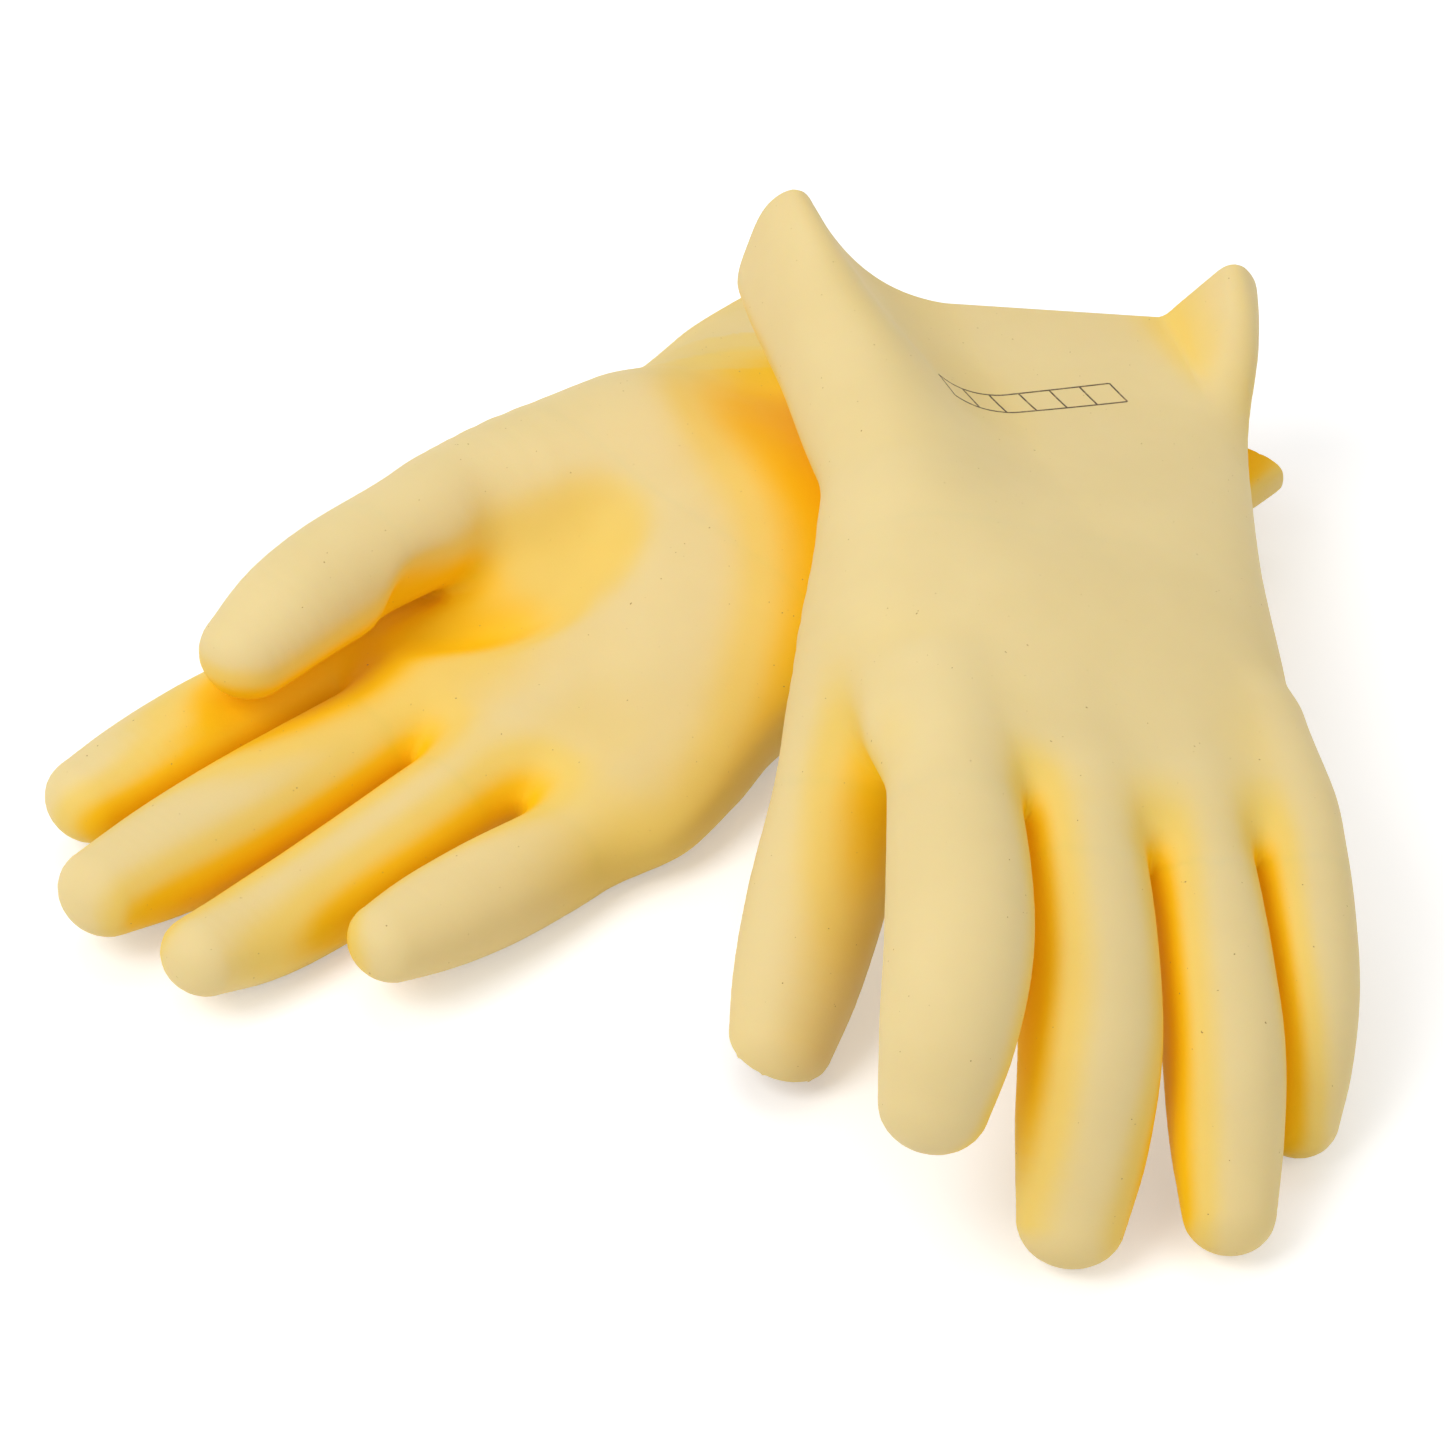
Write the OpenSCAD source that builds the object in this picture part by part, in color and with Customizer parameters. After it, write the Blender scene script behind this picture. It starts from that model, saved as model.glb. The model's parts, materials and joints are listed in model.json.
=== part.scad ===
// Pair of dipped rubber insulating gloves, laid out one across the other.
// Each glove is one seamless hollow film. It is made here in the regions that bend against each other:
// cuff, palm, thumb and four fingers. Each glove has its own frame: X towards the thumb,
// Y from the cut rim to the fingertips, Z up from the side it lies on.

/* [Film] */
// Thickness of the rubber
wall = 1.2; // [0.8:0.1:1.8]
// Clearance where one region turns against the next
turn_gap = 0.35; // [0.3:0.05:0.6]
// Clearance between neighbouring fingers at the knuckles
web_gap = 1.2; // [1:0.1:3]

/* [Cuff and palm] */
// Length of the cuff, from the cut rim to the wrist
cuff_len = 95; // [70:1:120]
// Length from the wrist to the middle knuckle
palm_len = 97; // [80:1:120]
// Width across the wrist
wrist_w = 104; // [80:1:116]
// Width of the palm across the thumb's base
palm_w = 108; // [90:1:125]
// Width of the right cuff at its rim, pressed flat by the glove that lies on it
right_rim_w = 150; // [120:1:160]
// Width of the left cuff at its rim
left_rim_w = 125; // [105:1:145]
// Height of the right cuff at its rim
right_rim_h = 24; // [18:1:30]
// Height of the left cuff at its rim, to the top of its two ears
left_rim_h = 44; // [36:1:54]
// Height of the wrist
wrist_h = 44; // [36:1:52]
// Depth of the dent between the ears of the left cuff
left_dent_depth = 24; // [10:1:28]
// Depth to which the right cuff is pressed in
right_dent_depth = 9; // [2:1:12]

/* [Digits] */
// Width of the thumb
thumb_w = 28; // [22:0.5:30]
// Width of the index finger
index_w = 26.5; // [20:0.5:30]
// Width of the middle finger
middle_w = 26; // [20:0.5:30]
// Width of the ring finger
ring_w = 24; // [18:0.5:28]
// Width of the little finger
little_w = 22.5; // [18:0.5:27]
// Length of the thumb from its joint
thumb_len = 85; // [65:1:105]
// Length of the index finger from its knuckle
index_len = 79; // [60:1:100]
// Length of the middle finger from its knuckle
middle_len = 88; // [70:1:110]
// Length of the ring finger from its knuckle
ring_len = 86; // [65:1:105]
// Length of the little finger from its knuckle
little_len = 68; // [50:1:85]

/* [Lie of the right glove] */
// Centre of the right glove's rim
right_at = [75.7, 118.2, 24.5]; // [20:0.1:130]
// Dip towards the fingertips
right_dip = 4.3; // [3:0.1:6]
// Roll, thumb side up
right_roll = 0.5; // [0:0.5:4]
// Turn about the vertical
right_turn = 135.3; // [130:0.1:140]

/* [Lie of the left glove] */
// Centre of the left glove's rim, on the table's plane
left_at = [67.7, 97]; // [50:0.1:110]
// Height of the left rim's centre over the top of the right cuff's rim, on which the left glove lies
left_rest = 33.4; // [33:0.1:45]
// Dip towards the fingertips
left_dip = 2.7; // [2:0.1:4]
// Roll, thumb side up
left_roll = 17.2; // [15:0.1:20]
// Turn about the vertical
left_turn = 187.6; // [184:0.1:192]

/* [Hidden] */

RIGHT = 0;
LEFT = 1;
THUMB = 0;
INDEX = 1;
MIDDLE = 2;
RING = 3;
LITTLE = 4;
latex = "#e8d08c";
$fn = 16;
ring_sides = 32;
// How square the palm and cuff are in section: 1 is a plain oval
oval_power = [0.74, 0.85];

wrist_y = cuff_len;
thumb_y = cuff_len + 40;
knuckle_y = cuff_len + palm_len;
heel_y = knuckle_y - 28;

// Each digit: width, height, length from its joint
digit_w = [thumb_w, index_w, middle_w, ring_w, little_w];
digit_h = [thumb_w - 1.5, index_w - 3.5, middle_w - 3, ring_w - 3, little_w - 2.5];
digit_len = [thumb_len, index_len, middle_len, ring_len, little_len];
// Shares of a digit's length taken by its three bones
thumb_bones = [0.29, 0.45, 0.26];
finger_bones = [0.49, 0.30, 0.21];

// The four knuckles stand side by side, web_gap apart, in a row centred on knuckle_row_x
knuckle_row_x = 1.4;
row_w = index_w + middle_w + ring_w + little_w + 3 * web_gap;
index_x = knuckle_row_x + row_w / 2 - index_w / 2;
middle_x = index_x - index_w / 2 - web_gap - middle_w / 2;
ring_x = middle_x - middle_w / 2 - web_gap - ring_w / 2;
little_x = ring_x - ring_w / 2 - web_gap - little_w / 2;
// Joint of each digit, with Z towards the palm side of the hand
digit_joint = [
    [index_x, thumb_y, 16.5],
    [index_x, knuckle_y - 6, -2.5],
    [middle_x, knuckle_y, 0],
    [ring_x, knuckle_y - 1.5, 0],
    [little_x, knuckle_y - 11.5, -2.7],
];

// Sideways give of each joint where the right hand is pressed flat
give = [[0, 0, 0, -1, -5], [0, 0, 0, 0, 0]];
// Sideways lean of each digit, and the bends at its three joints towards the palm
lean = [[1, -0.8, -1, -2.5, 1.5], [16, 5.6, -1, -3.2, -2]];
bends = [
    [[28, -24, -9], [7, 1, 2], [6, 2, 3], [1.5, 7, 9], [10, 3, 1]],
    [[30, 5.5, 0], [7, 24, 15.5], [20, 20, 9], [19, 10.5, 2], [22, 12, 8]],
];
// The right glove lies palm up and the left glove palm down
palm_side = [1, -1];

// Cross-sections along each glove, as [Y, value]
half_width = [
    [[0, right_rim_w / 2], [wrist_y - 8, wrist_w / 2], [thumb_y - 10, palm_w / 2 + 2],
        [heel_y, row_w / 2 + 4]],
    [[0, left_rim_w / 2], [wrist_y, wrist_w / 2 - 3], [thumb_y, palm_w / 2], [heel_y, row_w / 2 + 1]],
];
middle_line = [
    [[0, -5], [wrist_y, -3], [thumb_y, -6], [heel_y, -3]],
    [[0, -7], [wrist_y, -2], [thumb_y, -1], [heel_y, 1.4]],
];
under_side = [
    [[0, -24.3], [wrist_y, -18], [thumb_y, -16], [heel_y, -14]],
    [[0, -22], [wrist_y, -22], [thumb_y, -20], [heel_y, -14]],
];
upper_side = [
    [[0, right_rim_h - 24.3], [wrist_y, wrist_h - 18], [thumb_y, 18], [heel_y, 11]],
    [[0, left_rim_h - 22], [wrist_y, wrist_h - 22], [thumb_y, 19], [heel_y, 13.5]],
];
// The dent in each cuff's upper wall: depth and width at the rim, length, place
dent_depth = [right_dent_depth, left_dent_depth];
dent_w = [right_rim_w * 0.6, left_rim_w * 0.76];
dent_length = [0.8 * cuff_len, 0.95 * cuff_len];
dent_x = [0, -4];
// How far above the cuff's upper wall the dent's centre line runs
dent_rise = 6;

// How far the ball of the thumb lies to the side of the index finger's line
thumb_ball_x = [2, -5];
// How far each digit's root stands proud of the palm round it
seat = 0.5;
// Radius of the ball or drum about which each digit turns
turn_r = [for (d = [THUMB:LITTLE]) (d == THUMB ? digit_w[d] : digit_h[d]) / 2 + 2];
// Height of each wrist's axis, and radius of the drum about it
wrist_axis_z = [
    for (g = [RIGHT:LEFT]) (lookup(wrist_y, upper_side[g]) + lookup(wrist_y, under_side[g])) / 2
];
wrist_r = wrist_h / 2 + 3;

function power(v, p) = sign(v) * pow(abs(v), p);

// Thin oval slice across the glove
module slice(g, y, inset) {
    bottom = lookup(y, under_side[g]) + inset;
    top = lookup(y, upper_side[g]) - inset;
    half_w = lookup(y, half_width[g]) - inset;
    oval = [
        for (k = [0:ring_sides - 1])
            let (a = 360 * k / ring_sides)
                [half_w * power(cos(a), oval_power[g]), (top - bottom) / 2 * power(sin(a), oval_power[g])]
    ];
    translate([lookup(y, middle_line[g]), y, (top + bottom) / 2])
        rotate([90, 0, 0])
            linear_extrude(0.02, center = true) polygon(oval);
}

// Solid through the slices at evenly spaced stations
module loft(g, from, to, steps, inset) {
    pitch = (to - from) / steps;
    for (i = [0:steps - 1])
        hull() {
            slice(g, from + i * pitch, inset);
            slice(g, from + (i + 1) * pitch, inset);
        }
}

// Space pressed into the upper wall of the cuff, from the rim to its end
module dent(g, grow) {
    rim_top = lookup(0, upper_side[g]);
    end_y = dent_length[g];
    hull() {
        translate([dent_x[g], -20, rim_top + dent_rise])
            scale([dent_w[g] / 2 + grow, 30 + grow, dent_depth[g] + dent_rise + grow]) sphere(1, $fn = 24);
        translate([dent_x[g] - 2, end_y - 22, lookup(end_y, upper_side[g]) + dent_rise])
            scale([dent_w[g] / 5 + grow, 22 + grow, dent_rise + 4 + grow]) sphere(1, $fn = 24);
    }
}

// A digit is a chain of three bones: heading, size and end points of each
function heading(yaw, rise) = [sin(yaw) * cos(rise), cos(yaw) * cos(rise), sin(rise)];
function bones(d) = d == THUMB ? thumb_bones : finger_bones;
function tip_r(d) = digit_h[d] / 2 - 1;
function bone(d, i) = (digit_len[d] - tip_r(d)) * bones(d)[i];
function joint(g, d) =
    [digit_joint[d].x + give[g][d], digit_joint[d].y, digit_joint[d].z * palm_side[g]];
function rise(g, d, i) =
    palm_side[g] * bends[g][d][i] + (i == 0 ? 0 : rise(g, d, i - 1));
function point(g, d, i) =
    i == 0 ? joint(g, d) : point(g, d, i - 1) + bone(d, i - 1) * heading(lean[g][d], rise(g, d, i - 1));

// Oval ball at a digit's joint i, where 3 is its tip
module bead(g, d, i, inset) {
    swell = [0.98, 1, 0.98, 0.9][i];
    half_w = swell * digit_w[d] / 2 - inset;
    half_h = swell * digit_h[d] / 2 - inset;
    translate(point(g, d, i)) scale([half_w, half_h, half_h]) sphere(1);
}

module digit(g, d, inset) {
    for (i = [0:2])
        hull() {
            bead(g, d, i, inset);
            bead(g, d, i + 1, inset);
        }
}

// Palm with the ball of the thumb, from behind the wrist to the knuckles
module hand(g, inset) {
    loft(g, wrist_y - wrist_r - 2, heel_y, 7, inset);
    hull() {
        slice(g, heel_y, inset);
        for (d = [INDEX:LITTLE]) bead(g, d, 0, inset + seat);
    }
    hull() {
        bead(g, THUMB, 0, inset + seat);
        translate([index_x + thumb_ball_x[g], thumb_y - 28, 5 * palm_side[g]])
            scale([17 - inset, 22 - inset, 16 - inset]) sphere(1);
        translate([index_x - 14, thumb_y - 15, 0])
            scale([18 - inset, 20 - inset, 14 - inset]) sphere(1);
    }
}

// Everything beyond a digit's joint: outside a ball about the thumb's joint,
// or outside a drum about a finger's knuckle and no wider than half the gap to its neighbour
module beyond_joint(g, d, grow) {
    reach = digit_len[d] + 40;
    room = d == THUMB ? reach : digit_w[d] + web_gap / 2 + 2 * grow;
    translate(joint(g, d))
        rotate([0, 0, -lean[g][d]])
            rotate([rise(g, d, 0), 0, 0])
                difference() {
                    translate([-room / 2, 0, -reach / 2]) cube([room, reach, reach]);
                    if (d == THUMB)
                        hull() sphere(turn_r[d] - grow, $fn = 24);
                    else
                        rotate([0, 90, 0])
                            cylinder(r = turn_r[d] - grow, h = 2 * room, center = true, $fn = 32);
                }
}

// Everything on the rim's side of the wrist, out of reach of a drum about the wrist's axis
module before_wrist(g, grow) {
    span = 400;
    difference() {
        translate([-span / 2, wrist_y - span, -span / 2]) cube([span, span, span]);
        translate([0, wrist_y, wrist_axis_z[g]])
            rotate([0, 90, 0]) cylinder(r = wrist_r - grow, h = span, center = true, $fn = 40);
    }
}

module lay(g) {
    if (g == RIGHT)
        translate(right_at) rotate([-right_dip, 0, right_turn]) rotate([0, -right_roll, 0]) children();
    else
        translate([left_at.x, left_at.y, right_rim_h + left_rest])
            rotate([-left_dip, 0, left_turn]) rotate([0, -left_roll, 0]) children();
}

module above(height) {
    span = 900;
    intersection() {
        children();
        translate([-span / 2, -span / 2, height]) cube([span, span, span]);
    }
}

module cuff(g) {
    difference() {
        above(0) lay(g) intersection() {
            difference() {
                loft(g, 0, wrist_y, 6, 0);
                dent(g, 0);
            }
            before_wrist(g, 0);
        }
        above(wall) lay(g) difference() {
            loft(g, -1, wrist_y + 1, 6, wall);
            dent(g, wall);
        }
    }
}

module palm(g) {
    difference() {
        above(0) lay(g) {
            hand(g, 0);
            for (d = [THUMB:LITTLE])
                difference() {
                    digit(g, d, 0);
                    beyond_joint(g, d, turn_gap);
                }
        }
        above(wall) lay(g) {
            hand(g, wall);
            for (d = [THUMB:LITTLE]) digit(g, d, wall);
        }
        lay(g) before_wrist(g, turn_gap);
        lay(g) intersection() {
            digit(g, THUMB, -web_gap);
            beyond_joint(g, THUMB, turn_gap);
        }
        for (d = [INDEX:LITTLE]) lay(g) beyond_joint(g, d, turn_gap);
    }
}

module finger(g, d) {
    difference() {
        above(0) lay(g) intersection() {
            digit(g, d, 0);
            beyond_joint(g, d, 0);
        }
        above(wall) lay(g) digit(g, d, wall);
    }
}

module right_cuff() { color(latex) cuff(RIGHT); }
module right_palm() { color(latex) palm(RIGHT); }
module right_thumb() { color(latex) finger(RIGHT, THUMB); }
module right_index_finger() { color(latex) finger(RIGHT, INDEX); }
module right_middle_finger() { color(latex) finger(RIGHT, MIDDLE); }
module right_ring_finger() { color(latex) finger(RIGHT, RING); }
module right_little_finger() { color(latex) finger(RIGHT, LITTLE); }
module left_cuff() { color(latex) cuff(LEFT); }
module left_palm() { color(latex) palm(LEFT); }
module left_thumb() { color(latex) finger(LEFT, THUMB); }
module left_index_finger() { color(latex) finger(LEFT, INDEX); }
module left_middle_finger() { color(latex) finger(LEFT, MIDDLE); }
module left_ring_finger() { color(latex) finger(LEFT, RING); }
module left_little_finger() { color(latex) finger(LEFT, LITTLE); }

right_cuff();
right_palm();
right_thumb();
right_index_finger();
right_middle_finger();
right_ring_finger();
right_little_finger();
left_cuff();
left_palm();
left_thumb();
left_index_finger();
left_middle_finger();
left_ring_finger();
left_little_finger();
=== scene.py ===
# %% [markdown]
# # A pair of dipped rubber gloves
#
# This lesson builds two insulating gloves of natural rubber, lying crossed on a table. On the real
# object each glove is one seamless film: a hand-shaped porcelain former is dipped in liquid latex until
# the film is a little over a millimetre thick, and the glove is then stripped off and its cuff is cut.
# So there is nothing to assemble. All the character is in one smooth skin: webs between the fingers,
# the hollow beside the thumb, and a cuff that sags into a dent under its own weight.
#
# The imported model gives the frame: where each digit bends, and the space that the gloves fill.

# %% Load the frame
import json
import math

import bmesh
import bpy
import numpy as np
from mathutils import Matrix, Vector


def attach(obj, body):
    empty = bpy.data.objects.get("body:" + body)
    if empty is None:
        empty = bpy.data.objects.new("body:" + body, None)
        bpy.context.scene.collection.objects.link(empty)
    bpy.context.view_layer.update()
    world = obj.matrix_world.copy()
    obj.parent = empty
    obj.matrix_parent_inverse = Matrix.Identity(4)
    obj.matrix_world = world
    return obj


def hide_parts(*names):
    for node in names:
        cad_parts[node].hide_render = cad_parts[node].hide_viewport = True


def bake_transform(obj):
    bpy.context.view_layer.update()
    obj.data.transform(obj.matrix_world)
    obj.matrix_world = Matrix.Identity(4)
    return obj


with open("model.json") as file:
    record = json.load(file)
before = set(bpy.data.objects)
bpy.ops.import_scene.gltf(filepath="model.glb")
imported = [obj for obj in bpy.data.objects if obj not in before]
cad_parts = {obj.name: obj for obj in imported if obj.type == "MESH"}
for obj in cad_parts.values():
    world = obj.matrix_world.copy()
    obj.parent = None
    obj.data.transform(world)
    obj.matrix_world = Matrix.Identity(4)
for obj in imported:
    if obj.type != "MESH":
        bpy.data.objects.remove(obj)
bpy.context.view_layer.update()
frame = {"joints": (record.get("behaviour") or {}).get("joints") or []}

# %% [markdown]
# ## Two places, one hand
#
# Every length below is in millimetres, in the glove's own frame: X towards the thumb, Y from the cut
# rim to the fingertips, Z up from the side that the glove lies on. That frame is easier to think in than
# the table's, because both gloves then have the same hand in it. A glove is put in its place on the
# table only when its skin is done.

# %% The two gloves and their places
MM = 0.001
WALL = 1.2
THUMB, INDEX, MIDDLE, RING, LITTLE = range(5)
DIGITS = ["thumb", "index_finger", "middle_finger", "ring_finger", "little_finger"]
HINGES = ["thumb_joint", "index_knuckle", "middle_knuckle", "ring_knuckle", "little_knuckle"]

# The right-hand glove lies palm up, the left-hand glove palm down on top of its cuff
PALM_SIDE = {"right": 1, "left": -1}
PLACE = {
    "right": {"at": (75.7, 118.2, 24.5), "dip": 4.3, "roll": 0.5, "turn": 135.3},
    "left": {"at": (67.7, 97, 57.4), "dip": 2.7, "roll": 17.2, "turn": 187.6},
}


def placing(side):
    """Matrix from a glove's own frame to the table's, both in millimetres."""
    place = PLACE[side]
    turn = Matrix.Rotation(math.radians(place["turn"]), 4, "Z")
    dip = Matrix.Rotation(math.radians(-place["dip"]), 4, "X")
    roll = Matrix.Rotation(math.radians(-place["roll"]), 4, "Y")
    return np.array(Matrix.Translation(place["at"]) @ turn @ dip @ roll)


def joint_points(side):
    """Where each digit bends, in the glove's own frame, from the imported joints."""
    to_glove = np.linalg.inv(placing(side))
    at = {j["name"]: j["pos_m"] for j in frame["joints"] if j["type"] == "hinge"}
    points = [np.append(np.array(at[f"{side}_{name}"]) / MM, 1) for name in HINGES]
    return [(to_glove @ p)[:3] for p in points]


for side in PLACE:
    print(side, "joints:", [[round(float(x), 1) for x in p] for p in joint_points(side)])

# %% [markdown]
# ## Curves for sizes that change along the hand
#
# A glove's width, height and finger girth all change smoothly. Each is given at a few stations, and a
# cubic curve runs through them. Straight lines between the stations would show as flat bands on a
# surface that is as smooth as dipped rubber.

# %% A smooth curve through a few stations


def curve(at, stations):
    """Value at each place in at, on a cubic through the (place, value) stations, level past the ends."""
    x, y = (np.array(row, float) for row in zip(*stations))
    slope = np.gradient(y, x)
    at = np.clip(at, x[0], x[-1])
    k = np.clip(np.searchsorted(x, at, side="right") - 1, 0, len(x) - 2)
    span = x[k + 1] - x[k]
    t = (at - x[k]) / span
    rise = y[k + 1] - y[k]
    start = slope[k] * span
    end = slope[k + 1] * span
    return y[k] + t * (start + t * ((3 * rise - 2 * start - end) + t * (start + end - 2 * rise)))


# %% [markdown]
# ## The film as a distance field
#
# A skin like this could be sculpted, or grown from a low cage with Subdivision Surface. Both make the
# webs between the fingers hard to control, and both leave a pole or a pinch at each fork. Here the
# glove is a field instead: a function that says, at each point of space, how far the skin is. Fields
# melt together with a soft minimum, which is just what liquid latex does where two fingers meet, and
# a soft maximum presses a dent with a rounded lip. The surface is taken out of the field at the end.

# %% Soft minimum and maximum


def melt(a, b, reach):
    """Union of two fields that flow together over the given reach."""
    h = np.maximum(reach - np.abs(a - b), 0)
    return np.minimum(a, b) - h * h / (4 * np.maximum(reach, 1e-6))


def press(a, b, reach):
    """Field a with field b pressed into it, with a lip rounded over the given reach."""
    return -melt(-a, b, reach)


# %% [markdown]
# ## Cuff and palm
#
# Cut across, the cuff and palm are flattened ovals. The cuff flares towards the rim, the wrist is the
# narrowest place, and the palm ends in a soft slope at the webs of the fingers. The right glove is
# pressed flatter at the cuff, because the other glove lies on it.

# %% Sections of the cuff and palm
CUFF = 95

# Stations along the hand from the rim, each with its value
SECTIONS = {
    "right": {
        "squareness": [(0, 2.7), (200, 2.7)],
        "half_width": [
            *[(-26, 78), (0, 75), (40, 67), (87, 52)],
            *[(125, 53.5), (145, 54.5), (164, 57), (200, 58)],
        ],
        "middle": [(-26, -5.5), (0, -4.5), (40, -1), (95, -1), (125, -3), (145, -4), (164, -5), (200, -4)],
        "under": [(-26, -24.3), (0, -24.3), (95, -18), (135, -16), (164, -14), (200, -12)],
        "upper": [(-26, 0), (0, 1), (50, 12), (95, 26), (135, 18), (164, 11), (200, 11)],
    },
    "left": {
        "squareness": [(-26, 3.9), (0, 3.7), (45, 2.6), (200, 2.5)],
        "half_width": [
            *[(-26, 64.5), (0, 63.6), (40, 57.5), (60, 54.5)],
            *[(95, 49.5), (135, 50), (164, 49), (200, 46)],
        ],
        "middle": [(-26, -8), (0, -7), (40, -5), (60, -3.4), (95, -1.7), (135, 2.2), (164, 4.2), (200, 3)],
        "under": [(-26, -22), (0, -22), (95, -22), (135, -20), (164, -14), (200, -12)],
        "upper": [(-26, 27), (0, 26.5), (60, 22), (95, 22), (135, 19), (164, 13.5), (200, 12)],
    },
}
# Where the palm ends between the fingers, across the hand from the little finger to the index finger
WEB_LINE = [(-60, 181), (-42, 184), (-27, 186), (-1, 190), (26, 186), (50, 176)]

# The right cuff's corner on the little finger's side curls up off the table towards the rim
CURL = 8
CURL_FROM_X = -20
CURL_TO_X = -82
CURL_END_Y = 55

# That curl grows on past its corner and past the rim, up to these shares
CURL_PAST_CORNER = 1.2
CURL_PAST_RIM = 1.4

# A form's field is worked out no nearer its middle than this share of its size, and for no slope under this
CORE = 0.05
SHALLOWEST = 1e-4


def section_field(side, x, y, z):
    """Field of the cuff and palm, as stacked ovals."""
    form = SECTIONS[side]
    if side == "right":
        outwards = np.clip((x - CURL_FROM_X) / (CURL_TO_X - CURL_FROM_X), 0, CURL_PAST_CORNER)
        rimwards = np.clip(1 - y / CURL_END_Y, 0, CURL_PAST_RIM)
        z = z - CURL * outwards**2 * rimwards
    n = curve(y, form["squareness"])
    half_w = curve(y, form["half_width"])
    middle = curve(y, form["middle"])
    under = curve(y, form["under"])
    upper = curve(y, form["upper"])
    half_h = (upper - under) / 2
    u = np.abs(x - middle) / half_w
    v = np.abs(z - (upper + under) / 2) / half_h
    q = np.maximum((u**n + v**n) ** (1 / n), CORE)
    steep = q ** (1 - n) * np.hypot(u ** (n - 1) / half_w, v ** (n - 1) / half_h)
    return (q - 1) / np.maximum(steep, SHALLOWEST)


# %% [markdown]
# ## Digits
#
# A finger of the former is a tapering tube with an oval section, fullest about the middle joint and
# round at the tip. It could be a bevelled curve, but a bevel is always round, and these sections are
# wider than they are high. So it is a row of short tapering tubes. Its centre line starts inside the
# palm and bends at three joints, and those bends give each finger its own lie.

# %% Digits: sizes and bends
# For each side, from thumb to little finger: width, height and length of the digit's tube
DIGIT_WIDTH = {"right": [29, 27.5, 28, 25, 25], "left": [29.5, 29, 29, 25, 22]}
DIGIT_HEIGHT = {"right": [27, 24.5, 24.5, 22, 21.5], "left": [27.5, 25.5, 24.5, 22.5, 21.5]}
DIGIT_LENGTH = {"right": [90.5, 80, 92, 90, 71], "left": [90, 81, 90, 86, 72]}
# Share of the length that each bone takes
THUMB_BONES = (0.29, 0.45, 0.26)
FINGER_BONES = (0.49, 0.30, 0.21)
# Lean towards the thumb side, and bend towards the palm at each joint, in degrees
LEAN = {"right": [-6, -0.8, -1, -2.5, 0], "left": [13, 6, -0.2, -3.2, -1]}
BENDS = {
    "right": [(15, -7, -12), (7, 1, 2), (6, 2, 3), (1.5, 7, 9), (10, 3, 1)],
    "left": [(30, 5.5, 0), (7, 24, 15.5), (20, 20, 9), (19, 10.5, 2), (22, 12, 8)],
}
# Girth along a digit as a share of its full size: 0 is the joint, 1 the centre of the round tip
FINGER_GIRTH = [(-0.4, 0.8), (0, 0.95), (0.3, 1.02), (0.55, 1.03), (0.8, 0.94), (1, 0.77)]
THUMB_GIRTH = [(-0.5, 1.42), (-0.2, 1.28), (0, 1.11), (0.3, 1.0), (0.65, 0.99), (0.85, 0.9), (1, 0.76)]
# How far each digit of the film starts to the side of its joint, and where its root lies behind that
ASIDE = {"right": [0, 0, 0, 0, -1.5], "left": [4, 0, 0.4, 0, 1.5]}
THUMB_ROOT = {"right": (-9, -38, -12), "left": (-14, -34, 12)}
FINGER_ROOT = 30
# Pieces of centre line from one bend to the next
PIECES_PER_BONE = 6


def heading(yaw, rise):
    """Unit vector along a bone: yaw towards the thumb side, rise upwards, in degrees."""
    yaw = math.radians(yaw)
    rise = math.radians(rise)
    return np.array([math.sin(yaw) * math.cos(rise), math.cos(yaw) * math.cos(rise), math.sin(rise)])


def spine(side, d):
    """Points along a digit's centre line from inside the palm to the tip's centre, each with its share."""
    bones = THUMB_BONES if d == THUMB else FINGER_BONES
    length = DIGIT_LENGTH[side][d] - DIGIT_HEIGHT[side][d] / 2 + 1
    start = joint_points(side)[d] + np.array([ASIDE[side][d], 0, 0])
    if d == THUMB:
        root = start + np.array(THUMB_ROOT[side])
        root_share = THUMB_GIRTH[0][0]
    else:
        root = start - FINGER_ROOT * heading(LEAN[side][d] / 2, 0)
        root_share = FINGER_GIRTH[0][0]
    points = [root, start]
    shares = [root_share, 0]
    rise = 0
    for bone, bend in zip(bones, BENDS[side][d]):
        rise += bend * PALM_SIDE[side]
        points.append(points[-1] + bone * length * heading(LEAN[side][d], rise))
        shares.append(shares[-1] + bone)
    knots = np.arange(len(points))
    fine = np.linspace(0, len(points) - 1, PIECES_PER_BONE * (len(points) - 1) + 1)
    path = np.stack([curve(fine, list(zip(knots, [p[k] for p in points]))) for k in range(3)], -1)
    return path, curve(fine, list(zip(knots, shares)))


def digit_field(side, d, points):
    """Field of one digit: the nearest of the short tapering tubes along its centre line."""
    path, shares = spine(side, d)
    girth = curve(shares, THUMB_GIRTH if d == THUMB else FINGER_GIRTH)
    lean = math.radians(LEAN[side][d])
    sideways = np.array([math.cos(lean), -math.sin(lean), 0])
    half_w = DIGIT_WIDTH[side][d] / 2
    half_h = DIGIT_HEIGHT[side][d] / 2
    field = np.full(points.shape[:-1], 1e3, np.float32)
    for i in range(len(path) - 1):
        along = path[i + 1] - path[i]
        t = np.clip((points - path[i]) @ along / (along @ along), 0, 1)
        off = points - (path[i] + t[..., None] * along)
        size = girth[i] + t * (girth[i + 1] - girth[i])
        across = off @ sideways
        reach = np.maximum(np.sqrt((off * off).sum(-1)), 1e-3)
        rest = np.maximum(reach**2 - across**2, 0)
        q = np.sqrt((across / half_w) ** 2 + rest / half_h**2) / size
        field = np.minimum(field, reach * (1 - 1 / np.maximum(q, 1e-3)))
    return field


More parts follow.
